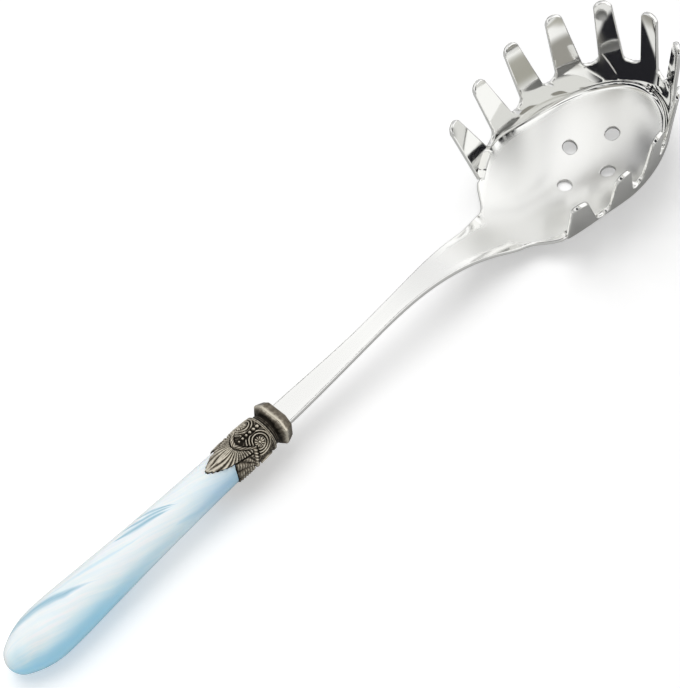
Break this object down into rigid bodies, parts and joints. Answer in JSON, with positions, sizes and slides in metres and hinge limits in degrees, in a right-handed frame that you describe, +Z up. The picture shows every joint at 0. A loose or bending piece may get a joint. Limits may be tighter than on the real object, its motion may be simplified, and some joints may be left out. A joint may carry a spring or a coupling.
{
  "type": "pasta server",
  "caption": "Spaghetti server: dished slotted steel bowl ringed with tall round-tipped tines, arched shank, ornate cast collar and a tapered round handle.",
  "frame": {"origin": "on the table under the middle of the object's box; the object lies with its bowl's underside and the swell of its handle on the table", "axes": "+X runs from the butt of the handle to the front of the bowl, +Y is across the bowl, to the left of someone who looks along +X, and +Z is up, the way the tines point"},
  "size_m": [0.2782, 0.0588, 0.0523],
  "materials": {
    "polished_steel": "mirror-polished stainless steel",
    "antique_metal": "cast white metal with an aged silver finish, dark in its recesses",
    "pearl_acrylic": "polished pearl acrylic, white and pale blue in feathered streaks",
    "cement": "cured two-part adhesive, hidden in the handle"
  },
  "bodies": {
    "root": {"server_head": "polished_steel", "collar": "antique_metal", "handle": "pearl_acrylic", "tang_cement": "cement"}
  },
  "joints": []
}
